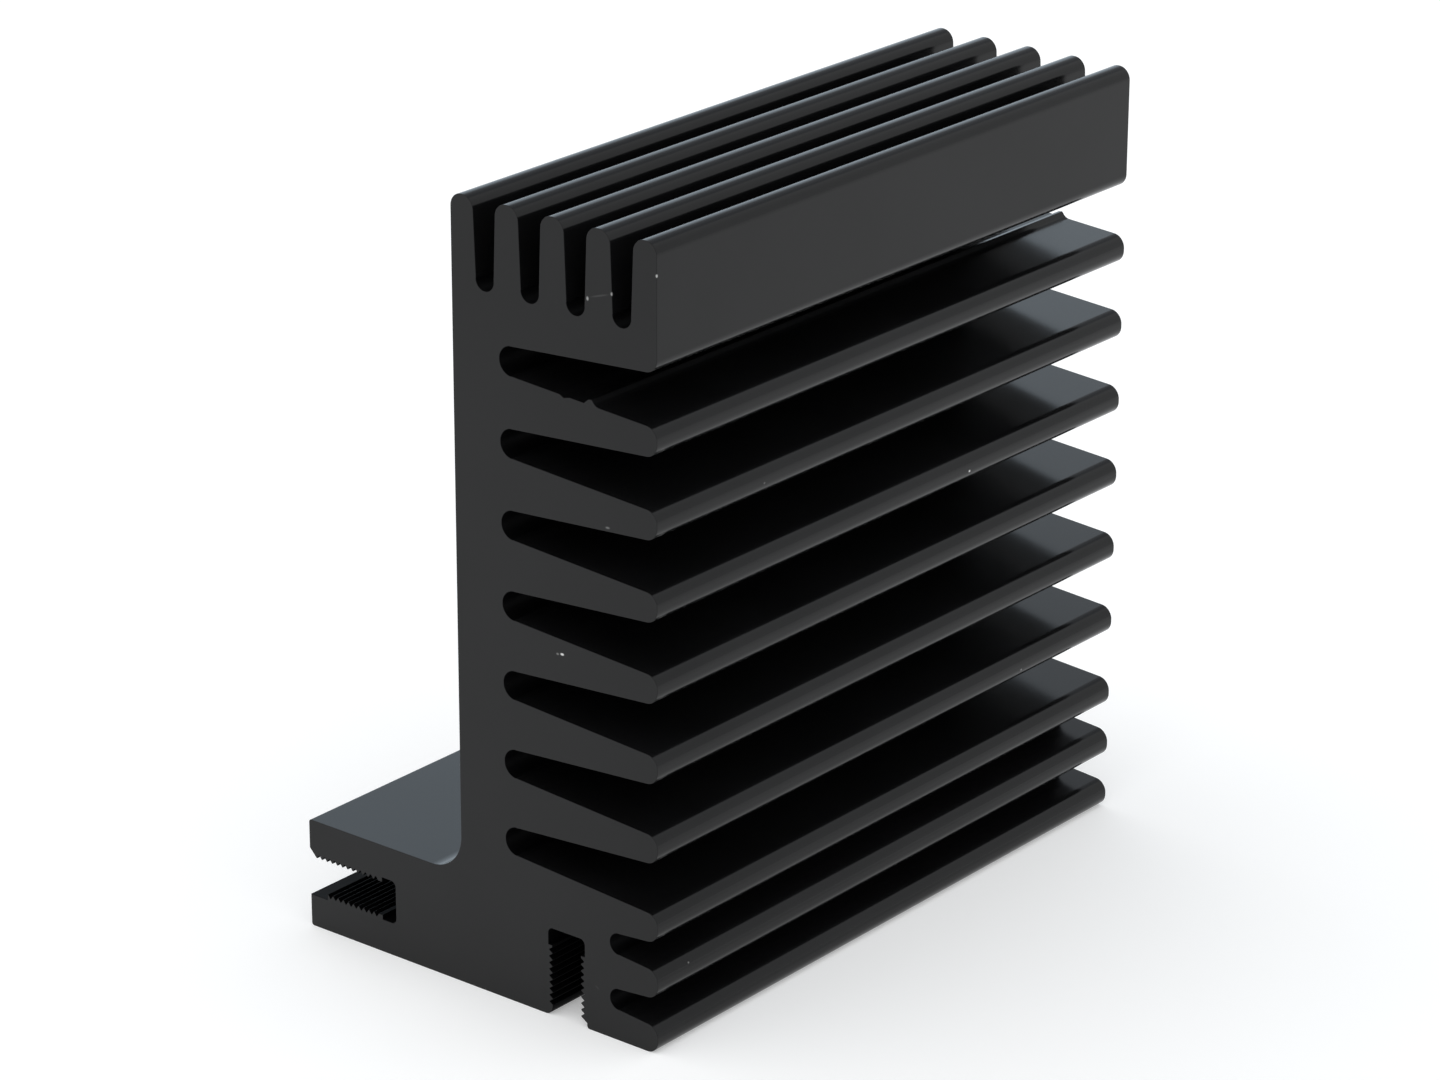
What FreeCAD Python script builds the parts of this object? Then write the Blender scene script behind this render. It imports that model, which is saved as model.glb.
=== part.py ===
import FreeCAD, Part
import math
import os
import Sketcher

# An extruded heat sink: one length of black anodised aluminium profile, sawn square at both ends.
# A vertical wall carries a flat face for the device on its left. Long fins leave it on the right and
# upright fins leave its top. It stands on a foot whose flange reaches out to the left. Two channels
# with ribbed walls, one in the flange and one under the foot, hold thread-forming screws.
# The profile lies in the XZ plane and runs along Y. Z = 0 is the underside of the foot, and the
# origin is in the middle of that underside.

doc = FreeCAD.newDocument("HeatSink")
sheet = doc.addObject("Spreadsheet::Sheet", "Sizes")

sizes = [
    ("cut_length", 75.0, "length that the profile is sawn to"),
    ("flange_reach", 20.55, "foot flange, from the device face to its edge"),
    ("flange_thickness", 11.75, "foot flange, underside to top"),
    ("flange_root_radius", 4.0, "fillet between flange and device face"),
    ("corner_radius", 0.3, "outer corners of the flange and of the bottom channel"),
    ("fin_thickness", 2.85, "long fins and foot fins, at the tip"),
    ("fin_gap_mouth", 5.35, "gap between two long fins, at the tips"),
    ("fin_gap_depth", 19.1, "gap between two long fins, tip to root"),
    ("fin_gap_end_radius", 1.47, "round root of that gap"),
    ("fin_gap_count", 7, "gaps between long fins"),
    ("foot_gap_mouth", 3.05, "gap between two short foot fins, at the tips"),
    ("foot_gap_depth", 5.95, "gap between two short foot fins, tip to root"),
    ("foot_gap_end_radius", 1.1, "round root of that gap"),
    ("foot_gap_count", 2, "gaps between foot fins"),
    ("top_block_height", 12.5, "highest gap's upper edge to the top of the upright fins"),
    ("upright_thickness", 2.75, "upright fins, at the tip"),
    ("slot_mouth", 2.8, "slot between two upright fins, at the top"),
    ("slot_depth", 8.95, "slot between two upright fins, top to root"),
    ("slot_end_radius", 1.1, "round root of that slot"),
    ("slot_count", 4, "slots between upright fins"),
    ("tip_radius", 1.35, "rounding of every fin tip"),
    ("tip_flat", 0.05, "least flat that stays between the two roundings of a tip"),
    ("channel_width", 3.6, "screw channels, between the crests of their ribs"),
    ("thread_pitch", 0.7, "spacing of the ribs, for an M4 screw"),
    ("groove_depth", 0.42, "groove between two ribs"),
    ("groove_width", 0.6, "groove between two ribs, at the crests"),
    ("relief_width", 4.6, "wider space at the end of a channel"),
    ("relief_depth", 1.8, "how long that space is"),
    ("relief_radius", 0.4, "its inner corners"),
    ("side_channel_depth", 11.65, "side channel, from the flange's edge to its end"),
    ("side_chamfer_run", 0.9, "chamfer of its upper lip, along the channel"),
    ("side_chamfer_rise", 0.95, "chamfer of its upper lip, across the channel"),
    ("side_lead_run", 2.3, "plain stretch of its lower lip"),
    ("side_lead_drop", 0.62, "how far that stretch lies below the crests"),
    ("bottom_channel_depth", 9.4, "bottom channel, from the underside to its end"),
    ("bottom_channel_inset", 11.47, "fin tips to the middle of the bottom channel"),
    ("bottom_lead_width", 5.1, "its mouth"),
    ("bottom_lead_run", 0.55, "straight part of its mouth"),
    ("bottom_lead_slope", 0.5, "length over which the mouth narrows to the crests"),
]
for row, (alias, number, meaning) in enumerate(sizes, start=1):
    sheet.set(f"A{row}", meaning)
    sheet.set(f"B{row}", str(number))
    sheet.setAlias(f"B{row}", alias)
doc.recompute()

# Places that follow from the sizes above.
fin_pitch = "(Sizes.fin_thickness + Sizes.fin_gap_mouth)"
foot_pitch = "(Sizes.fin_thickness + Sizes.foot_gap_mouth)"
slot_pitch = "(Sizes.upright_thickness + Sizes.slot_mouth)"
foot_fins_top = f"(Sizes.foot_gap_count * {foot_pitch})"
fins_top = f"({foot_fins_top} + Sizes.fin_gap_count * {fin_pitch})"
height = f"({fins_top} + Sizes.top_block_height)"
wall_depth = f"(Sizes.slot_count * {slot_pitch} + Sizes.upright_thickness)"
right_x = f"(({wall_depth} + Sizes.flange_reach) / 2)"
left_x = f"(-{right_x})"
wall_x = f"({left_x} + Sizes.flange_reach)"
thinnest_fin = "min(Sizes.fin_thickness; Sizes.upright_thickness)"
tip_rounding = f"min(Sizes.tip_radius; ({thinnest_fin} - Sizes.tip_flat) / 2)"

# Both channels are drawn from their mouths inwards: the first axis of their sketches is their depth.
half_channel = "(Sizes.channel_width / 2)"
half_relief = "(Sizes.relief_width / 2)"
half_lead = "(Sizes.bottom_lead_width / 2)"
side_place = (left_x, "Sizes.flange_thickness / 2", 0)
side_relief = "(Sizes.side_channel_depth - Sizes.relief_depth)"
bottom_place = (f"{right_x} - Sizes.bottom_channel_inset", "0", 90)
bottom_relief = "(Sizes.bottom_channel_depth - Sizes.relief_depth)"
bottom_lead = "(Sizes.bottom_lead_run + Sizes.bottom_lead_slope)"

same_place = 1e-4  # two coordinates nearer than this, in mm, are the same
body = doc.addObject("PartDesign::Body", "heat_sink")
body.Label = "heat_sink"
origin = {feature.Role: feature for feature in body.Origin.OriginFeatures}


def number_of(expression):
    return float(sheet.evalExpression(expression))


def new_sketch(name, x="0", z="0", turn=0):
    """A sketch on the XZ plane with its own origin at (x, z), its first axis turned from +X to +Z."""
    sketch = body.newObject("Sketcher::SketchObject", name)
    sketch.AttachmentSupport = [(origin["XZ_Plane"], "")]
    sketch.MapMode = "FlatFace"
    place = FreeCAD.Vector(number_of(x), number_of(z), 0)
    sketch.AttachmentOffset = FreeCAD.Placement(place, FreeCAD.Rotation(FreeCAD.Vector(0, 0, 1), turn))
    sketch.setExpression(".AttachmentOffset.Base.x", x)
    sketch.setExpression(".AttachmentOffset.Base.y", z)
    return sketch


def dimension(sketch, name, constraint, expression):
    index = sketch.addConstraint(constraint)
    sketch.renameConstraint(index, name)
    sketch.setExpression(f"Constraints.{name}", expression)


def closed_outline(sketch, corners):
    """Straight edges through the corners, each corner held by its two distances from the origin."""
    points = [FreeCAD.Vector(number_of(u), number_of(v), 0) for u, v in corners]
    edges = [sketch.addGeometry(Part.LineSegment(start, end), False)
             for start, end in zip(points, points[1:] + points[:1])]
    for before, after in zip(edges[-1:] + edges[:-1], edges):
        sketch.addConstraint(Sketcher.Constraint("Coincident", before, 2, after, 1))
    for edge, point, (u, v) in zip(edges, points, corners):
        across = Sketcher.Constraint("DistanceX", -1, 1, edge, 1, point.x)
        dimension(sketch, f"across{edge}", across, u)
        up = Sketcher.Constraint("DistanceY", -1, 1, edge, 1, point.y)
        dimension(sketch, f"up{edge}", up, v)


def tapered_gap(sketch, mouth, depth, end_radius):
    """A gap that runs along +X from its mouth on the Y axis and narrows to a round root."""
    radius = number_of(end_radius)
    half_mouth = number_of(mouth) / 2
    centre = FreeCAD.Vector(number_of(depth) - radius, 0, 0)
    reach = math.hypot(centre.x, half_mouth)
    slope = math.acos(radius / reach) - math.atan2(centre.x, half_mouth)
    upper_root = centre + FreeCAD.Vector(math.sin(slope), math.cos(slope), 0) * radius
    lower_root = centre + FreeCAD.Vector(math.sin(slope), -math.cos(slope), 0) * radius
    upper_lip = FreeCAD.Vector(0, half_mouth, 0)
    lower_lip = FreeCAD.Vector(0, -half_mouth, 0)
    turn = math.pi / 2 - slope
    root_circle = Part.Circle(centre, FreeCAD.Vector(0, 0, 1), radius)

    upper = sketch.addGeometry(Part.LineSegment(upper_lip, upper_root), False)
    root = sketch.addGeometry(Part.ArcOfCircle(root_circle, -turn, turn), False)
    lower = sketch.addGeometry(Part.LineSegment(lower_root, lower_lip), False)
    opening = sketch.addGeometry(Part.LineSegment(lower_lip, upper_lip), False)
    sketch.addConstraint([
        Sketcher.Constraint("Tangent", upper, 2, root, 2),
        Sketcher.Constraint("Tangent", lower, 1, root, 1),
        Sketcher.Constraint("Coincident", lower, 2, opening, 1),
        Sketcher.Constraint("Coincident", opening, 2, upper, 1),
        Sketcher.Constraint("PointOnObject", opening, 1, -2),
        Sketcher.Constraint("Symmetric", opening, 1, opening, 2, -1),
        Sketcher.Constraint("PointOnObject", root, 3, -1),
    ])
    width = Sketcher.Constraint("DistanceY", opening, 1, opening, 2, 2 * half_mouth)
    dimension(sketch, "mouth", width, mouth)
    run = Sketcher.Constraint("DistanceX", -1, 1, root, 3, centre.x)
    dimension(sketch, "run", run, f"{depth} - {end_radius}")
    dimension(sketch, "root_radius", Sketcher.Constraint("Radius", root, radius), end_radius)


def cut_through(sketch, name):
    """Cuts the sketch out of the whole length, and makes sure that it took metal away."""
    before = body.Shape.Volume
    pocket = body.newObject("PartDesign::Pocket", name)
    pocket.Profile = sketch
    pocket.SideType = "Symmetric"
    pocket.Type = "ThroughAll"
    body.Tip = pocket
    doc.recompute()
    if body.Shape.Volume >= before:
        raise RuntimeError(f"{name} cuts nothing")
    return pocket


def repeat(feature, name, direction, pitch, count, backwards=False):
    pattern = body.newObject("PartDesign::LinearPattern", name)
    pattern.Originals = [feature]
    pattern.Direction = (origin[direction], [""])
    pattern.Reversed = backwards
    pattern.Mode = "Spacing"
    pattern.setExpression("Offset", pitch)
    pattern.setExpression("Occurrences", count)
    body.Tip = pattern
    doc.recompute()


def near(first, second):
    return abs(first - second) < same_place


def round_edges(name, radius, chosen):
    """Rounds the edges along Y whose place across the profile passes the test chosen(x, z)."""
    names = []
    for index, edge in enumerate(body.Shape.Edges, start=1):
        start, end = edge.Vertexes[0].Point, edge.Vertexes[-1].Point
        runs_along = near(start.x, end.x) and near(start.z, end.z) and not near(start.y, end.y)
        if runs_along and chosen(start.x, start.z):
            names.append(f"Edge{index}")
    carrier = body.Tip
    fillet = body.newObject("PartDesign::Fillet", name)
    fillet.Base = (carrier, names)
    fillet.setExpression("Radius", radius)
    body.Tip = fillet
    doc.recompute()


# The bar: the wall, and the foot that reaches past it to the left.
outline = new_sketch("BarOutline")
closed_outline(outline, [
    (left_x, "0"),
    (right_x, "0"),
    (right_x, height),
    (wall_x, height),
    (wall_x, "Sizes.flange_thickness"),
    (left_x, "Sizes.flange_thickness"),
])
bar = body.newObject("PartDesign::Pad", "Bar")
bar.Profile = outline
bar.SideType = "Symmetric"
bar.setExpression("Length", "Sizes.cut_length")
doc.recompute()

# The gaps between the long fins, from the lowest one up.
fin_gap_z = f"{foot_fins_top} + Sizes.fin_thickness + Sizes.fin_gap_mouth / 2"
fin_gap = new_sketch("FinGapOutline", right_x, fin_gap_z, 180)
tapered_gap(fin_gap, "Sizes.fin_gap_mouth", "Sizes.fin_gap_depth", "Sizes.fin_gap_end_radius")
repeat(cut_through(fin_gap, "FinGap"), "FinGaps", "Z_Axis", fin_pitch, "Sizes.fin_gap_count")

# The short gaps in the foot, from the lowest one up.
foot_gap_z = "Sizes.fin_thickness + Sizes.foot_gap_mouth / 2"
foot_gap = new_sketch("FootGapOutline", right_x, foot_gap_z, 180)
tapered_gap(foot_gap, "Sizes.foot_gap_mouth", "Sizes.foot_gap_depth", "Sizes.foot_gap_end_radius")
repeat(cut_through(foot_gap, "FootGap"), "FootGaps", "Z_Axis", foot_pitch, "Sizes.foot_gap_count")

# The slots between the upright fins, from the device face to the right.
slot_x = f"{wall_x} + Sizes.upright_thickness + Sizes.slot_mouth / 2"
slot = new_sketch("SlotOutline", slot_x, height, -90)
tapered_gap(slot, "Sizes.slot_mouth", "Sizes.slot_depth", "Sizes.slot_end_radius")
repeat(cut_through(slot, "Slot"), "Slots", "X_Axis", slot_pitch, "Sizes.slot_count")

# Every fin ends in a round tip.
right, top, left = number_of(right_x), number_of(height), number_of(left_x)
wall, flange_top = number_of(wall_x), number_of("Sizes.flange_thickness")
round_edges("FinTips", tip_rounding, lambda x, z: near(x, right) or near(z, top))
round_edges("FlangeRoot", "Sizes.flange_root_radius", lambda x, z: near(x, wall) and near(z, flange_top))

# The side channel, in the middle of the flange's edge. Its upper lip is chamfered, its lower lip plain.
side = new_sketch("SideChannelOutline", *side_place)
closed_outline(side, [
    ("0", f"-{half_channel} - Sizes.side_lead_drop"),
    ("Sizes.side_lead_run", f"-{half_channel} - Sizes.side_lead_drop"),
    ("Sizes.side_lead_run", f"-{half_channel}"),
    (side_relief, f"-{half_channel}"),
    (side_relief, f"-{half_relief}"),
    ("Sizes.side_channel_depth", f"-{half_relief}"),
    ("Sizes.side_channel_depth", half_relief),
    (side_relief, half_relief),
    (side_relief, half_channel),
    ("Sizes.side_chamfer_run", half_channel),
    ("0", f"{half_channel} + Sizes.side_chamfer_rise"),
])
cut_through(side, "SideChannel")

# The bottom channel, whose mouth narrows on both sides.
bottom = new_sketch("BottomChannelOutline", *bottom_place)
closed_outline(bottom, [
    ("0", f"-{half_lead}"),
    ("Sizes.bottom_lead_run", f"-{half_lead}"),
    (bottom_lead, f"-{half_channel}"),
    (bottom_relief, f"-{half_channel}"),
    (bottom_relief, f"-{half_relief}"),
    ("Sizes.bottom_channel_depth", f"-{half_relief}"),
    ("Sizes.bottom_channel_depth", half_relief),
    (bottom_relief, half_relief),
    (bottom_relief, half_channel),
    (bottom_lead, half_channel),
    ("Sizes.bottom_lead_run", half_lead),
    ("0", half_lead),
])
cut_through(bottom, "BottomChannel")

# Inner corners of both reliefs, then the outer corners of the flange and of the bottom channel's mouth.
side_end = left + number_of("Sizes.side_channel_depth")
bottom_end = number_of("Sizes.bottom_channel_depth")
bottom_middle = right - number_of("Sizes.bottom_channel_inset")
relief, lead = number_of(half_relief), number_of(half_lead)
round_edges("ReliefCorners", "Sizes.relief_radius",
            lambda x, z: (near(x, side_end) and near(abs(z - flange_top / 2), relief))
            or (near(z, bottom_end) and near(abs(x - bottom_middle), relief)))
round_edges("OuterCorners", "Sizes.corner_radius",
            lambda x, z: (near(x, left) and (near(z, 0) or near(z, flange_top)))
            or (near(z, 0) and near(abs(x - bottom_middle), lead)))


def groove(sketch, first, side_sign):
    """One V-shaped groove, open to the channel, in the wall above (1) or below (-1) its middle."""
    wall_level = f"{side_sign} * {half_channel}"
    closed_outline(sketch, [
        (f"{first} - Sizes.groove_width / 2", wall_level),
        (f"{first} + Sizes.groove_width / 2", wall_level),
        (first, f"{wall_level} + {side_sign} * Sizes.groove_depth"),
    ])


# The ribs that the screw cuts its thread into are what stands between the grooves. Each wall's ribs
# run from the end of its lip to the relief.
walls = [
    ("SideUpper", side_place, "Sizes.side_chamfer_run", side_relief, 1, "X_Axis"),
    ("SideLower", side_place, "Sizes.side_lead_run", side_relief, -1, "X_Axis"),
    ("BottomLeft", bottom_place, bottom_lead, bottom_relief, 1, "Z_Axis"),
    ("BottomRight", bottom_place, bottom_lead, bottom_relief, -1, "Z_Axis"),
]
for name, place, lip_end, relief_start, side_sign, direction in walls:
    first = f"({lip_end} + Sizes.thread_pitch - Sizes.groove_width / 2)"
    count = f"floor(({relief_start} - {lip_end}) / Sizes.thread_pitch)"
    groove_outline = new_sketch(f"{name}GrooveOutline", *place)
    groove(groove_outline, first, side_sign)
    cut = cut_through(groove_outline, f"{name}Groove")
    repeat(cut, f"{name}Grooves", direction, "Sizes.thread_pitch", count)

doc.recompute()
for item in doc.Objects:
    if "Invalid" in item.State or "Error" in item.State:
        raise RuntimeError(f"{item.Name} failed: {item.State}")
if body.Shape.isNull() or not body.Shape.isValid() or len(body.Shape.Solids) != 1:
    raise RuntimeError("heat_sink is not one valid solid")

os.makedirs("parts", exist_ok=True)
body.Shape.exportStep(os.path.join("parts", f"{body.Label}.step"))
box = body.Shape.BoundBox
print(f"heat_sink: {box.XLength:.2f} x {box.YLength:.2f} x {box.ZLength:.2f} mm, "
      f"{body.Shape.Volume / 1000:.2f} cm3, {len(body.Shape.Faces)} faces")
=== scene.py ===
import bmesh
import bpy
import math
from mathutils import Matrix, Vector


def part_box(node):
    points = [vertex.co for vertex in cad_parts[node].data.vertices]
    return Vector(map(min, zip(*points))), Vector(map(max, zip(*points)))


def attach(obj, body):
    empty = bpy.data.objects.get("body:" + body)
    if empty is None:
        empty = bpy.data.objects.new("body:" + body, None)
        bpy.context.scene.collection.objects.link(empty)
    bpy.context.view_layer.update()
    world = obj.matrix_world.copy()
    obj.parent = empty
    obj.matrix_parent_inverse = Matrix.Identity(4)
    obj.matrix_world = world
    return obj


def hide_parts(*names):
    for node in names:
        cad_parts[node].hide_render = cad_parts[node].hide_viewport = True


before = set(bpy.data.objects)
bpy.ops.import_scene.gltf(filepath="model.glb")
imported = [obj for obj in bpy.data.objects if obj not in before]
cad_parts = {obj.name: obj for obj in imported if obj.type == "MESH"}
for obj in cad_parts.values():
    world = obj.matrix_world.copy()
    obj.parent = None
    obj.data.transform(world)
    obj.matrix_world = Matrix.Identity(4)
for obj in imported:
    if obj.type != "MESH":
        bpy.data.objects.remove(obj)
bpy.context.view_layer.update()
low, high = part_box("heat_sink")
mm = 0.001

# The heat sink's sizes, in millimetres.
profile = {
    "flangeReach": 20.55,         # flange edge to device face
    "flangeThickness": 11.75,
    "flangeRoot": 4.0,
    "cornerRadius": 0.3,
    "tipRadius": 1.35,
    "finThickness": 2.85,
    "uprightThickness": 2.75,
    "finGap": {"mouth": 5.35, "depth": 19.1, "root": 1.47, "count": 7},
    "footGap": {"mouth": 3.05, "depth": 5.95, "root": 1.1, "count": 2},
    "slot": {"mouth": 2.8, "depth": 8.95, "root": 1.1, "count": 4},
    "arcTolerance": 0.003,        # how far a rounding's facets may lie inside it
    "mergeWithin": 0.0005,        # where two roundings meet, their ends are one point
}
finRib = [  # on the topmost side fin's upper side: distance from its tip, height, and the corner's rounding
    (7.35, 0, 0.80),
    (7.88, 0.58, 0.10),
    (8.30, 0.50, 0.12),
    (8.80, 0, 0.15),
    (10.55, 0, 0.30),             # from here on a shallow groove
    (11.25, -0.23, 0.15),
    (11.75, 0, 0.30),
]
channels = {
    "halfWidth": 1.8,             # middle to the rib crests
    "pitch": 0.7,
    "grooveDepth": 0.42,
    "grooveWidth": 0.6,
    "ribRounding": 0.06,
    "reliefHalf": 2.3,
    "reliefDepth": 1.8,
    "reliefCorner": 0.6,
    "sideDepth": 11.65,
    "sideChamfer": (0.9, 0.95),   # the upper lip's, along and across the channel
    "sideLead": (2.3, 0.62),      # the lower lip's, likewise
    "bottomDepth": 9.4,
    "bottomInset": 11.47,         # fin tips to the channel's middle
    "bottomLead": (0.55, 0.5),    # the right lip's: straight, then sloping
    "bottomLipHalf": 2.55,        # middle to that straight stretch
    "bottomLipRounding": 1.0,     # the left lip's
}
sawCut = {
    "edgeBreak": 0.04,            # less than ribRounding, or the cut's edge crosses itself at the ribs
    "edgeSegments": 3,
    "endFacing": 0.999,           # the sawn ends alone have a normal this much along Y
    "sharpFrom": math.radians(32),
}
skinSlot, endSlot, paintedShadeSlot = range(3)  # the materials' places on the piece

print("drawing the profile")
left, right, top = low.x / mm, high.x / mm, high.z / mm
wall = left + profile["flangeReach"]
footPitch = profile["finThickness"] + profile["footGap"]["mouth"]
finPitch = profile["finThickness"] + profile["finGap"]["mouth"]
slotPitch = profile["uprightThickness"] + profile["slot"]["mouth"]
footTop = profile["footGap"]["count"] * footPitch


def gapCorners(lip, along, inward, gap):
    # Lip, root, root, lip of a tapered gap, each corner with its rounding.
    half = gap["mouth"] / 2
    reach = gap["depth"] - gap["root"]
    taper = math.acos(gap["root"] / math.hypot(reach, half)) - math.atan2(reach, half)
    rootHalf = gap["root"] * math.tan(math.pi / 4 - taper / 2)
    root = lip + along * half + inward * gap["depth"]
    return [
        (lip, profile["tipRadius"]),
        (root - along * rootHalf, gap["root"]),
        (root + along * rootHalf, gap["root"]),
        (lip + along * gap["mouth"], profile["tipRadius"]),
    ]


def gapRow(start, along, inward, gap, pitch):
    return [gapCorners(start + along * index * pitch, along, inward, gap) for index in range(gap["count"])]


def finRibCorners(lip, root):
    # The low rib and the groove on the fin's upper side, which runs back from its lip to the gap's root.
    back = (root - lip).normalized()
    outward = Vector((back.z, 0, -back.x))
    return [(lip + back * distance + outward * rise, rounding) for distance, rise, rounding in finRib]


def ribs(start, stop, side, place):
    # V grooves along one wall of a channel, on the side given by the sign.
    half, crest = channels["grooveWidth"] / 2, channels["halfWidth"]
    corners = []
    for index in range(1, math.floor((stop - start) / channels["pitch"]) + 1):
        middle = start + index * channels["pitch"] - half
        for along, deep in ((-half, 0), (0, channels["grooveDepth"]), (half, 0)):
            corners.append((place(middle + along, side * (crest + deep)), channels["ribRounding"]))
    return corners


def relief(start, end, side, place):
    # One half of the wider space at the channel's end.
    return [
        (place(start, side * channels["halfWidth"]), 0),
        (place(start, side * channels["reliefHalf"]), 0),
        (place(end, side * channels["reliefHalf"]), channels["reliefCorner"]),
    ]


def sideChannel():
    def place(depth, height):
        return Vector((left + depth, 0, profile["flangeThickness"] / 2 + height))

    half, end = channels["halfWidth"], channels["sideDepth"]
    start = end - channels["reliefDepth"]
    chamferRun, chamferRise = channels["sideChamfer"]
    leadRun, leadDrop = channels["sideLead"]
    upper = [
        (place(0, half + chamferRise), 0),
        (place(chamferRun, half), 0),
    ]
    upper += ribs(chamferRun, start, 1, place) + relief(start, end, 1, place)
    lower = [
        (place(0, -half - leadDrop), 0),
        (place(leadRun, -half - leadDrop), 0),
        (place(leadRun, -half), 0),
    ]
    lower += ribs(leadRun, start, -1, place) + relief(start, end, -1, place)
    return upper + lower[::-1]


def bottomChannel():
    def place(depth, across):
        return Vector((right - channels["bottomInset"] + across, 0, depth))

    end = channels["bottomDepth"]
    start = end - channels["reliefDepth"]
    straight, slope = channels["bottomLead"]
    leftLip = [(place(0, -channels["halfWidth"]), channels["bottomLipRounding"])]
    rightLip = [
        (place(0, channels["bottomLipHalf"]), profile["cornerRadius"]),
        (place(straight, channels["bottomLipHalf"]), 0),
        (place(straight + slope, channels["halfWidth"]), 0),
    ]
    halves = []
    for side, lip in ((-1, leftLip), (1, rightLip)):
        halves.append(lip + ribs(straight + slope, start, side, place) + relief(start, end, side, place))
    return halves[0] + halves[1][::-1]


def profileCorners():
    # Round the profile from the flange's lower corner, the side fins upwards, the upright fins leftwards.
    rightward, upward = Vector((1, 0, 0)), Vector((0, 0, 1))
    fin, upright = profile["finThickness"], profile["uprightThickness"]
    footGaps = gapRow(Vector((right, 0, fin)), upward, -rightward, profile["footGap"], footPitch)
    finGaps = gapRow(Vector((right, 0, footTop + fin)), upward, -rightward, profile["finGap"], finPitch)
    slots = gapRow(Vector((right - upright, 0, top)), -rightward, -upward, profile["slot"], slotPitch)
    topGap = finGaps[-1]
    topGap[1:1] = finRibCorners(topGap[0][0], topGap[1][0])

    corners = [(Vector((left, 0, 0)), profile["cornerRadius"])]
    corners += bottomChannel()
    corners.append((Vector((right, 0, 0)), profile["tipRadius"]))
    for gap in footGaps + finGaps:
        corners += gap
    corners.append((Vector((right, 0, top)), profile["tipRadius"]))
    for slot in slots:
        corners += slot
    corners.append((Vector((wall, 0, top)), profile["tipRadius"]))
    corners.append((Vector((wall, 0, profile["flangeThickness"])), profile["flangeRoot"]))
    corners.append((Vector((left, 0, profile["flangeThickness"])), profile["cornerRadius"]))
    return corners + sideChannel()


def roundCorner(mesh, corner, radius):
    before, after = [edge.other_vert(corner).co - corner.co for edge in corner.link_edges]
    turn = math.pi - before.angle(after)
    step = 2 * math.acos(1 - profile["arcTolerance"] / radius)
    bmesh.ops.bevel(
        mesh, geom=[corner], offset=radius * math.tan(turn / 2), offset_type="ABSOLUTE", affect="VERTICES",
        segments=math.ceil(turn / step), profile=0.5, material=-1,
    )


def recesses():
    # Boxes in X and Z round the channels and the roots of the gaps, whose faces get the painted shade: left,
    # right, bottom, top.
    margin = 0.01                 # so that the faces at the deep ends lie inside
    middle, bottomMiddle = profile["flangeThickness"] / 2, right - channels["bottomInset"]
    lip = channels["halfWidth"] + channels["sideChamfer"][1]
    boxes = [
        (left, left + channels["sideDepth"] + margin, middle - lip, middle + lip),
        (bottomMiddle - lip, bottomMiddle + lip, 0, channels["bottomDepth"] + margin),
    ]
    for gap, bottom, under in (("footGap", 0, footTop), ("finGap", footTop, top - profile["slot"]["depth"])):
        root = right - profile[gap]["depth"]
        boxes.append((root - margin, root + profile[gap]["root"], bottom, under))
    root = top - profile["slot"]["depth"]
    boxes.append((wall, right, root - margin, root + profile["slot"]["root"]))
    return boxes


def lies(spot, boxes):
    return any(x0 < spot.x < x1 and z0 < spot.z < z1 for x0, x1, z0, z1 in boxes)


def isEnd(face):
    return abs(face.normal.y) > sawCut["endFacing"]


def drawProfile(mesh):
    corners = profileCorners()
    verts = [mesh.verts.new(point) for point, radius in corners]
    mesh.faces.new(verts)
    for vert, (point, radius) in zip(verts, corners):
        if radius:
            roundCorner(mesh, vert, radius)
    bmesh.ops.remove_doubles(mesh, verts=mesh.verts, dist=profile["mergeWithin"])
    print("profile points:", len(mesh.verts))


def extrudeAndSaw(mesh):
    bmesh.ops.translate(mesh, verts=mesh.verts, vec=(0, low.y / mm, 0))
    grown = bmesh.ops.extrude_face_region(mesh, geom=mesh.faces[:])
    farVerts = [item for item in grown["geom"] if isinstance(item, bmesh.types.BMVert)]
    bmesh.ops.translate(mesh, verts=farVerts, vec=(0, (high.y - low.y) / mm, 0))
    bmesh.ops.recalc_face_normals(mesh, faces=mesh.faces)
    sawnEdges = [edge for edge in mesh.edges if any(isEnd(face) for face in edge.link_faces)]
    bmesh.ops.bevel(
        mesh, geom=sawnEdges, offset=sawCut["edgeBreak"], affect="EDGES", segments=sawCut["edgeSegments"],
        profile=0.5, material=-1,
    )
    ends = [face for face in mesh.faces if isEnd(face)]
    bmesh.ops.triangulate(mesh, faces=ends)  # in millimetres, where the ribs aren't too small for it


def markFaces(mesh):
    # The ends stay flat. Elsewhere only sharp edges break the shading.
    recessed = recesses()
    for face in mesh.faces:
        face.smooth = not isEnd(face)
        if isEnd(face):
            face.material_index = endSlot
        elif lies(face.calc_center_median(), recessed):
            # Painted shade: faces in the channels and the gaps' roots take the darker, duller film.
            face.material_index = paintedShadeSlot
        else:
            face.material_index = skinSlot
    for edge in mesh.edges:
        edge.smooth = edge.calc_face_angle(0) < sawCut["sharpFrom"]


def extrusion():
    mesh = bmesh.new()
    drawProfile(mesh)
    extrudeAndSaw(mesh)
    markFaces(mesh)
    bmesh.ops.scale(mesh, verts=mesh.verts, vec=(mm, mm, mm))
    print("volume, cm3:", round(mesh.calc_volume() / (10 * mm) ** 3, 3), "faces:", len(mesh.faces))
    data = bpy.data.meshes.new("extrusion")
    mesh.to_mesh(data)
    mesh.free()
    piece = bpy.data.objects.new("extrusion", data)
    bpy.context.scene.collection.objects.link(piece)
    flatten = piece.modifiers.new("flat faces stay flat", "WEIGHTED_NORMAL")
    flatten.keep_sharp = True
    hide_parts("heat_sink")
    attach(piece, "root")
    return piece


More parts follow.
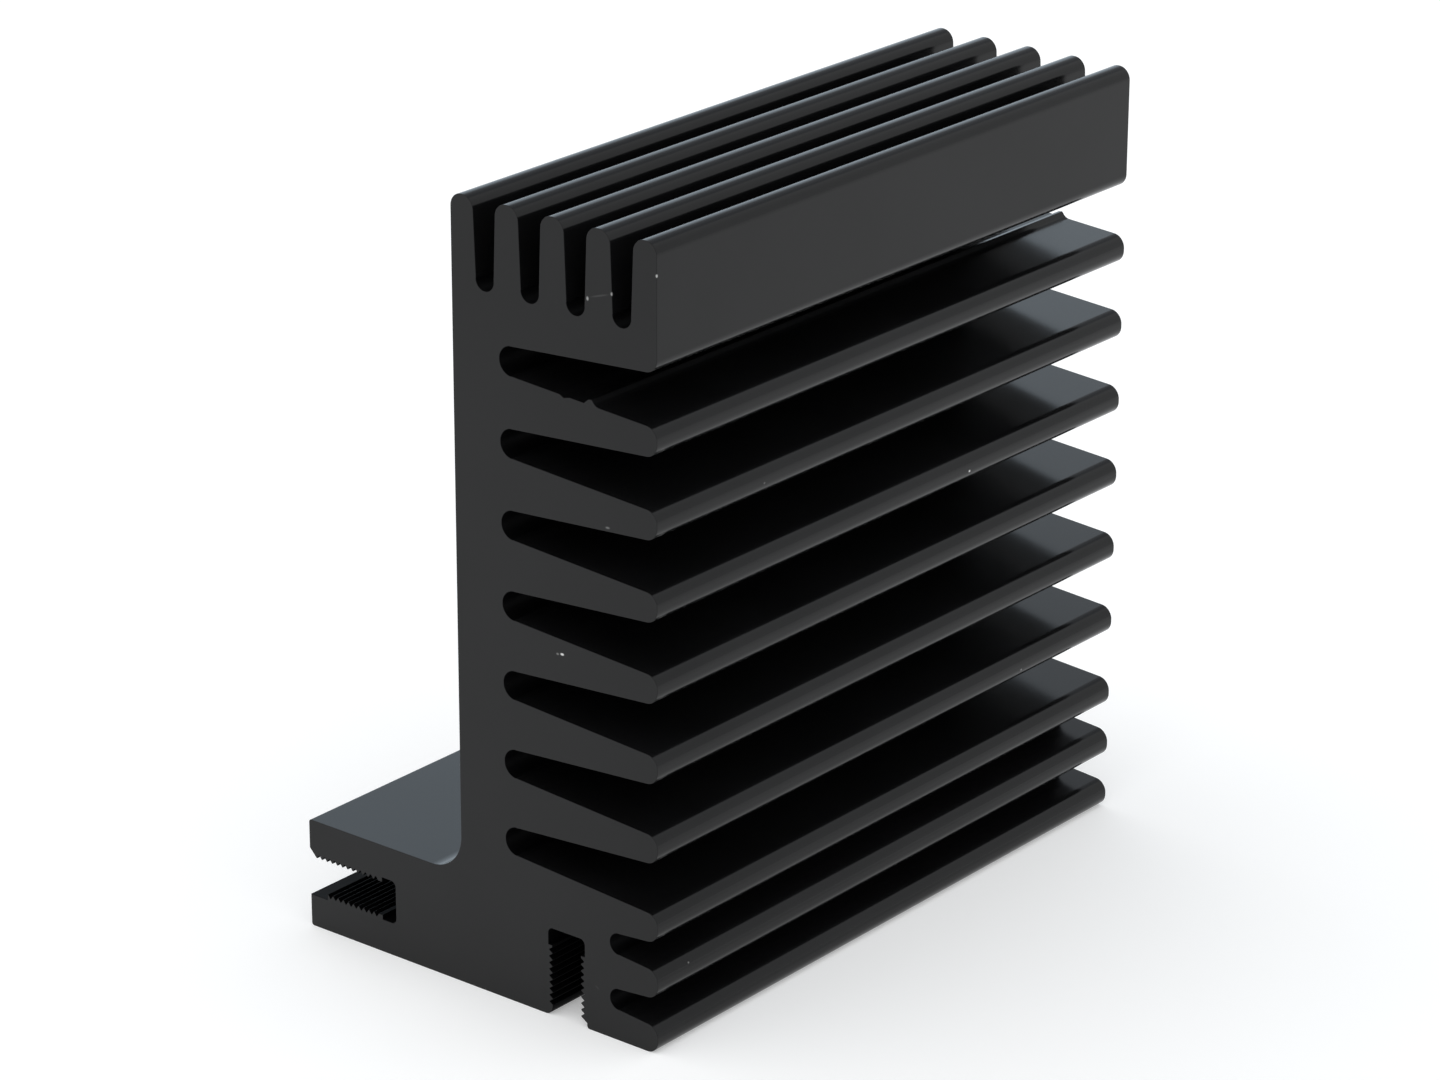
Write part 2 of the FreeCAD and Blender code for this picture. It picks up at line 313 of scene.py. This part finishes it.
print("making the materials")
film = {
    "tone": (0.0040, 0.0040, 0.0042, 1),
    "paleTone": (0.0060, 0.0060, 0.0064, 1),   # where the dye took less
    "gloss": 0.212,
    "roughness": 0.16,
    "roughnessSpread": 0.03,
    "cloudSize": 9,               # mm
    "lineSpacing": 0.25,          # mm between the drawn lines, which run along Y
    "lineSquash": 0.002,          # along Y, which draws the noise out into lines
    "lineHeight": 0.0004,         # mm
}
# Painted shade: a darker, less glossy film for the channels and the roots of the gaps, where shade falls.
recessShade = {
    "tone": (0.0012, 0.0012, 0.0014, 1),
    "paleTone": (0.0020, 0.0020, 0.0023, 1),
    "gloss": 0.05,
    "roughness": 0.55,
    "roughnessSpread": 0.05,
    "cloudSize": 5,
}
sawnEnd = {
    "tone": (0.0040, 0.0040, 0.0042, 1),
    "paleTone": (0.0060, 0.0060, 0.0064, 1),
    "gloss": 0.262,
    "roughness": 0.34,
    "roughnessSpread": 0.04,
    "cloudSize": 14,
    "bladeCentre": (140, 0, -60),  # mm, far off the profile, so that the marks are shallow arcs
    "markSpacing": 0.4,
    "markHeight": 0.0012,
}
clouds = {
    "detail": 5,
    "detailStrength": 0.55,
    "noiseRange": (0.3, 0.7),     # where nearly all of the noise's values lie
    "roughnessSize": 2,           # how much larger the roughness's clouds are than the dye's
}
# Painted highlights: pale specks along the undersides of the fins' round tips.
tipHighlights = {
    "speckSize": 0.22,            # mm
    "rarity": (0.53, 0.68),       # noise values at which a speck starts and is full
    "downward": (-0.35, -0.75),   # the normal's Z at which the painted highlight starts and is full
    "fromTip": 1.0,               # mm
    "paleness": 0.09,
}
nicksAndGlints = {
    "tone": (0.8, 0.8, 0.78, 1),
    "fullWithin": 0.3,            # share of a mark's radius within which it is palest
    "marks": [  # place, turn about Y in degrees, half lengths along X, Y and Z, all in mm, and how pale
        ((22.75, -37.5, 78.58), 0, (0.20, 0.20, 0.22), 0.55),
        ((14.51, -37.5, 74.72), 0, (0.19, 0.18, 0.28), 0.38),
        ((17.42, -37.5, 75.75), 0, (0.18, 0.18, 0.24), 0.45),
        ((15.95, -37.5, 75.28), 17.5, (1.50, 0.20, 0.13), 0.035),
        ((16.78, -37.5, 52.78), 4, (0.36, 0.20, 0.16), 0.16),
        ((10.50, -37.5, 38.46), 4, (0.24, 0.18, 0.16), 0.18),
        ((11.07, -37.5, 38.56), 4, (0.30, 0.18, 0.17), 0.90),
        ((22.70, 11.36, 45.75), 0, (0.18, 0.20, 0.18), 0.85),
        ((22.70, 21.26, 21.05), 0, (0.18, 0.20, 0.16), 0.25),
        ((22.70, -21.62, 54.04), 0, (0.18, 0.20, 0.16), 0.12),
        ((22.70, -32.75, 8.05), 0, (0.18, 0.18, 0.15), 0.20),
        ((15.14, -37.5, 4.84), -30, (0.40, 0.20, 0.14), 0.02),
    ],
    # A painted glint on each side fin at the lower corner of its near end. The places are mm from where
    # that corner would be if it were sharp.
    "glintInset": (0.35, 1.0, 0.40),  # inward, along and up
    "glintHalf": (0.7, 0.9, 0.5),
    "glintPaleness": 0.08,
}


def addNode(tree, kind, inputs=None, **settings):
    node = tree.nodes.new(kind)
    for name, value in settings.items():
        setattr(node, name, value)
    for name, value in (inputs or {}).items():
        if isinstance(value, bpy.types.NodeSocket):
            tree.links.new(value, node.inputs[name])
        else:
            node.inputs[name].default_value = value
    return node


def objectPlace(tree):
    return addNode(tree, "ShaderNodeTexCoord").outputs["Object"]


def cloudGroup():
    # Clouds from coarse to fine, spread about a middle value. As they stand, the inputs give 0 to 1.
    group = bpy.data.node_groups.new("clouding", "ShaderNodeTree")
    for name, value in (("Middle", 0.5), ("Spread", 0.5), ("Clouds per Metre", 100)):
        socket = group.interface.new_socket(name, in_out="INPUT", socket_type="NodeSocketFloat")
        socket.default_value = value
    group.interface.new_socket("Value", in_out="OUTPUT", socket_type="NodeSocketFloat")
    given = addNode(group, "NodeGroupInput").outputs
    noise = addNode(group, "ShaderNodeTexNoise", {
        "Vector": objectPlace(group), "Scale": given["Clouds per Metre"],
        "Detail": clouds["detail"], "Roughness": clouds["detailStrength"],
    })
    lowest = addNode(group, "ShaderNodeMath", {0: given["Middle"], 1: given["Spread"]}, operation="SUBTRACT")
    highest = addNode(group, "ShaderNodeMath", {0: given["Middle"], 1: given["Spread"]}, operation="ADD")
    start, full = clouds["noiseRange"]
    spread = addNode(group, "ShaderNodeMapRange", {
        "Value": noise.outputs["Fac"], "From Min": start, "From Max": full,
        "To Min": lowest.outputs[0], "To Max": highest.outputs[0],
    })
    addNode(group, "NodeGroupOutput", {"Value": spread.outputs["Result"]})
    return group


# Painted glints: a pale spot at the lower near corner of each side fin.
def tipGlints():
    undersides = [index * footPitch for index in range(profile["footGap"]["count"])]
    undersides += [footTop + index * finPitch for index in range(profile["finGap"]["count"])]
    inward, along, up = nicksAndGlints["glintInset"]
    places = [(right - inward, low.y / mm + along, underside + up) for underside in undersides]
    return [(place, 0, nicksAndGlints["glintHalf"], nicksAndGlints["glintPaleness"]) for place in places]


def nickAndGlintGroup():
    # A mask of the few small nicks, the fibre and the painted glints at the fins' near lower corners, each a
    # soft-edged ellipsoid.
    group = bpy.data.node_groups.new("nicksAndGlints", "ShaderNodeTree")
    group.interface.new_socket("Mask", in_out="OUTPUT", socket_type="NodeSocketFloat")
    here = objectPlace(group)
    mask = None
    for place, turn, halfLengths, paleness in nicksAndGlints["marks"] + tipGlints():
        offset = addNode(group, "ShaderNodeVectorMath", {
            0: here, 1: Vector(place) * mm,
        }, operation="SUBTRACT")
        turned = addNode(group, "ShaderNodeVectorRotate", {
            "Vector": offset.outputs[0], "Angle": math.radians(turn),
        }, rotation_type="Y_AXIS")
        scaled = addNode(group, "ShaderNodeVectorMath", {
            0: turned.outputs[0], 1: Vector(halfLengths) * mm,
        }, operation="DIVIDE")
        radius = addNode(group, "ShaderNodeVectorMath", {0: scaled.outputs[0]}, operation="LENGTH")
        spot = addNode(group, "ShaderNodeMapRange", {
            "Value": radius.outputs["Value"],
            "From Min": 1, "From Max": nicksAndGlints["fullWithin"], "To Max": paleness,
        }, interpolation_type="SMOOTHSTEP").outputs["Result"]
        if mask is not None:
            spot = addNode(group, "ShaderNodeMath", {0: mask, 1: spot}, operation="MAXIMUM").outputs[0]
        mask = spot
    addNode(group, "NodeGroupOutput", {"Mask": mask})
    return group


def tipHighlightMask(tree):
    # Painted highlights: tiny pale specks on the underside of each fin's round tip.
    coordinates = addNode(tree, "ShaderNodeTexCoord").outputs
    noise = addNode(tree, "ShaderNodeTexNoise", {
        "Vector": coordinates["Object"], "Scale": 1 / (tipHighlights["speckSize"] * mm), "Detail": 1,
    })
    start, full = tipHighlights["rarity"]
    speck = addNode(tree, "ShaderNodeMapRange", {
        "Value": noise.outputs["Fac"], "From Min": start, "From Max": full, "To Max": tipHighlights["paleness"],
    })
    start, full = tipHighlights["downward"]
    facing = addNode(tree, "ShaderNodeSeparateXYZ", {"Vector": coordinates["Normal"]})
    under = addNode(tree, "ShaderNodeMapRange", {
        "Value": facing.outputs["Z"], "From Min": start, "From Max": full,
    })
    place = addNode(tree, "ShaderNodeSeparateXYZ", {"Vector": coordinates["Object"]})
    atTip = addNode(tree, "ShaderNodeMath", {
        0: place.outputs["X"], 1: (right - tipHighlights["fromTip"]) * mm,
    }, operation="GREATER_THAN")
    mask = speck.outputs["Result"]
    for other in (under.outputs["Result"], atTip.outputs[0]):
        mask = addNode(tree, "ShaderNodeMath", {0: mask, 1: other}, operation="MULTIPLY").outputs[0]
    return mask


def anodised(name, look, height, heightScale, ownHighlights=None):
    # The black film, whichever surface it lies on. height(tree) gives that surface's relief, and
    # the last argument, when given, painted highlights that no other surface has.
    material = bpy.data.materials.new(name)
    material.use_nodes = True
    tree = material.node_tree
    shader = tree.nodes["Principled BSDF"]
    shader.inputs["Specular IOR Level"].default_value = look["gloss"]
    cloudsPerMetre = 1 / (look["cloudSize"] * mm)
    dye = addNode(tree, "ShaderNodeGroup", node_tree=clouding)
    dye.inputs["Clouds per Metre"].default_value = cloudsPerMetre
    tone = addNode(tree, "ShaderNodeMix", data_type="RGBA")
    tone.inputs["A"].default_value = look["tone"]
    tone.inputs["B"].default_value = look["paleTone"]
    tree.links.new(dye.outputs["Value"], tone.inputs["Factor"])
    # Mix in the pale marks: the nicks and the fibre, and the painted glints and highlights.
    markedAndGlinting = addNode(tree, "ShaderNodeMix", data_type="RGBA")
    markedAndGlinting.inputs["B"].default_value = nicksAndGlints["tone"]
    marks = addNode(tree, "ShaderNodeGroup", node_tree=nickAndGlintMask).outputs["Mask"]
    if ownHighlights:
        both = addNode(tree, "ShaderNodeMath", {0: marks, 1: ownHighlights(tree)}, operation="MAXIMUM")
        marks = both.outputs[0]
    tree.links.new(marks, markedAndGlinting.inputs["Factor"])
    tree.links.new(tone.outputs["Result"], markedAndGlinting.inputs["A"])
    tree.links.new(markedAndGlinting.outputs["Result"], shader.inputs["Base Color"])
    rough = addNode(tree, "ShaderNodeGroup", node_tree=clouding)
    rough.inputs["Middle"].default_value = look["roughness"]
    rough.inputs["Spread"].default_value = look["roughnessSpread"]
    rough.inputs["Clouds per Metre"].default_value = cloudsPerMetre / clouds["roughnessSize"]
    tree.links.new(rough.outputs["Value"], shader.inputs["Roughness"])
    bump = addNode(tree, "ShaderNodeBump", {
        "Height": height(tree), "Strength": 1, "Distance": heightScale * mm,
    })
    tree.links.new(bump.outputs["Normal"], shader.inputs["Normal"])
    return material


def drawnLines(tree):
    # Fine lines that the die leaves along the whole length.
    squashed = addNode(tree, "ShaderNodeMapping", {
        "Vector": objectPlace(tree), "Scale": (1, film["lineSquash"], 1),
    })
    lines = addNode(tree, "ShaderNodeTexNoise", {
        "Vector": squashed.outputs[0], "Scale": 1 / (film["lineSpacing"] * mm), "Detail": 2,
    })
    return lines.outputs["Fac"]


def bladeMarks(tree):
    # Arcs about the saw blade's centre.
    offset = addNode(tree, "ShaderNodeVectorMath", {
        0: objectPlace(tree), 1: Vector(sawnEnd["bladeCentre"]) * mm,
    }, operation="SUBTRACT")
    flat = addNode(tree, "ShaderNodeVectorMath", {0: offset.outputs[0], 1: (1, 0, 1)}, operation="MULTIPLY")
    radius = addNode(tree, "ShaderNodeVectorMath", {0: flat.outputs[0]}, operation="LENGTH")
    arcs = addNode(tree, "ShaderNodeTexNoise", {
        "W": radius.outputs["Value"], "Scale": 1 / (sawnEnd["markSpacing"] * mm), "Detail": 2,
    }, noise_dimensions="1D")
    return arcs.outputs["Fac"]


clouding = cloudGroup()
nickAndGlintMask = nickAndGlintGroup()
skin = anodised("anodisedSkin", film, drawnLines, film["lineHeight"], tipHighlightMask)
sawn = anodised("sawnEnd", sawnEnd, bladeMarks, sawnEnd["markHeight"])
# The painted shade for the channels and the gaps' roots.
shadedRecessFilm = anodised("paintedShadeRecess", recessShade, drawnLines, film["lineHeight"])

print("extruding the heat sink")
heatSink = extrusion()
for material in (skin, sawn, shadedRecessFilm):  # in the order of their slots
    heatSink.data.materials.append(material)

print("setting the studio")
studio = {
    "roomTone": (0.965, 0.985, 1.0, 1),
    "patches": [  # tone, middle of the patch, and the degrees from it at which it starts and is full
        ((1.00, 1.16, 1.30, 1), (-0.674, 0.698, 0.242), 24, 10),
        ((0.50, 0.53, 0.57, 1), (-0.265, 0.655, 0.707), 26, 14),
    ],
    "lampToward": Vector((-0.3, -0.45, 1)),
    "lampSpread": math.radians(70),
    "lampStrength": 0.25,
    "lampTone": (1, 0.96, 0.92),
    "floorReach": 4,              # metres to each side
    "floorTone": (0.80, 0.80, 0.80, 1),
    "floorRoughness": 0.9,
    "floorGloss": 0.1,
    "floorLift": 0.30,            # for the camera and reflections only: white, with the shadow kept
    "cameraPlace": Vector((294.067, -364.889, 218.407)) * mm,
    "azimuth": math.radians(38.87),
    "elevation": math.radians(21.25),
    "roll": math.radians(0.196),
    "lens": 123.845,              # mm, like the sensor's width
    "sensorWidth": 36,
    "clipping": (0.01, 50),       # metres
}


def softWorld():
    # An even pale room with a window low behind the left, and a dimmer wall above it.
    world = bpy.data.worlds.new("softStudio")
    world.use_nodes = True
    bpy.context.scene.world = world
    tree = world.node_tree
    direction = addNode(tree, "ShaderNodeTexCoord").outputs["Generated"]
    sky = studio["roomTone"]
    for tone, toward, start, full in studio["patches"]:
        nearness = addNode(tree, "ShaderNodeVectorMath", {
            0: direction, 1: Vector(toward).normalized(),
        }, operation="DOT_PRODUCT")
        patch = addNode(tree, "ShaderNodeMapRange", {
            "Value": nearness.outputs["Value"],
            "From Min": math.cos(math.radians(start)), "From Max": math.cos(math.radians(full)),
        }, interpolation_type="SMOOTHSTEP")
        sky = addNode(tree, "ShaderNodeMix", {
            "Factor": patch.outputs["Result"], "A": sky, "B": tone,
        }, data_type="RGBA").outputs["Result"]
    tree.links.new(sky, tree.nodes["Background"].inputs["Color"])


def overheadLamp():
    light = bpy.data.lights.new("overhead", "SUN")
    light.angle = studio["lampSpread"]
    light.energy = studio["lampStrength"]
    light.color = studio["lampTone"]
    lamp = bpy.data.objects.new("overhead", light)
    bpy.context.scene.collection.objects.link(lamp)
    lamp.rotation_euler = studio["lampToward"].to_track_quat("Z", "Y").to_euler()


def paleFloor():
    mesh = bmesh.new()
    bmesh.ops.create_grid(mesh, x_segments=1, y_segments=1, size=studio["floorReach"])
    data = bpy.data.meshes.new("floor")
    mesh.to_mesh(data)
    mesh.free()
    floor = bpy.data.objects.new("floor", data)
    bpy.context.scene.collection.objects.link(floor)
    paper = bpy.data.materials.new("paleFloor")
    paper.use_nodes = True
    tree = paper.node_tree
    shader = tree.nodes["Principled BSDF"]
    shader.inputs["Base Color"].default_value = studio["floorTone"]
    shader.inputs["Roughness"].default_value = studio["floorRoughness"]
    shader.inputs["Specular IOR Level"].default_value = studio["floorGloss"]
    shader.inputs["Emission Color"].default_value = (1, 1, 1, 1)
    rays = addNode(tree, "ShaderNodeLightPath").outputs
    seen = rays["Is Camera Ray"]
    for other in ("Is Glossy Ray", "Is Transmission Ray"):
        seen = addNode(tree, "ShaderNodeMath", {0: seen, 1: rays[other]}, operation="MAXIMUM").outputs[0]
    lift = addNode(tree, "ShaderNodeMath", {0: seen, 1: studio["floorLift"]}, operation="MULTIPLY")
    tree.links.new(lift.outputs[0], shader.inputs["Emission Strength"])
    data.materials.append(paper)


def placeCamera():
    data = bpy.data.cameras.new("camera")
    data.lens = studio["lens"]
    data.sensor_width = studio["sensorWidth"]
    data.clip_start, data.clip_end = studio["clipping"]
    camera = bpy.data.objects.new("camera", data)
    bpy.context.scene.collection.objects.link(camera)
    aimed = Matrix.Rotation(studio["azimuth"], 4, "Z")
    aimed = aimed @ Matrix.Rotation(math.pi / 2 - studio["elevation"], 4, "X")
    aimed = aimed @ Matrix.Rotation(studio["roll"], 4, "Z")
    camera.matrix_world = Matrix.Translation(studio["cameraPlace"]) @ aimed
    bpy.context.scene.camera = camera


softWorld()
overheadLamp()
paleFloor()
placeCamera()
bpy.context.scene.view_settings.view_transform = "Standard"
